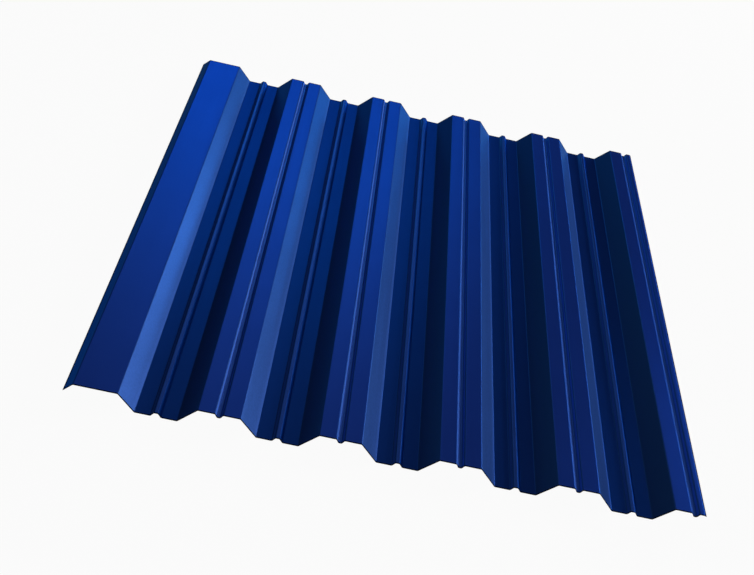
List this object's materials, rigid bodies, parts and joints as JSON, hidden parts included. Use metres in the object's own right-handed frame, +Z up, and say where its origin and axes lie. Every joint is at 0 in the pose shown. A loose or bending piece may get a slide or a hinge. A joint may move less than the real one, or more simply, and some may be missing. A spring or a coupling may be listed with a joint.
{
  "type": "corrugated metal sheet",
  "caption": "Trapezoidal profiled steel sheet with ribbed valleys, grooved crests and a lipped lap edge, coated blue, for cladding walls, roofs and fences.",
  "frame": {"origin": "under the middle of the sheet, at the level that its valleys rest on", "axes": "+X across the waves from the lipped lap crest to the grooved edge crest, +Y along the sheet, +Z up towards the weather side"},
  "size_m": [1.0704, 1.25, 0.032],
  "materials": {
    "blue_coated_steel": "semi-gloss polyester coil coating in ultramarine blue on galvanised steel"
  },
  "bodies": {
    "root": {"profiled_sheet": "blue_coated_steel"}
  },
  "joints": []
}
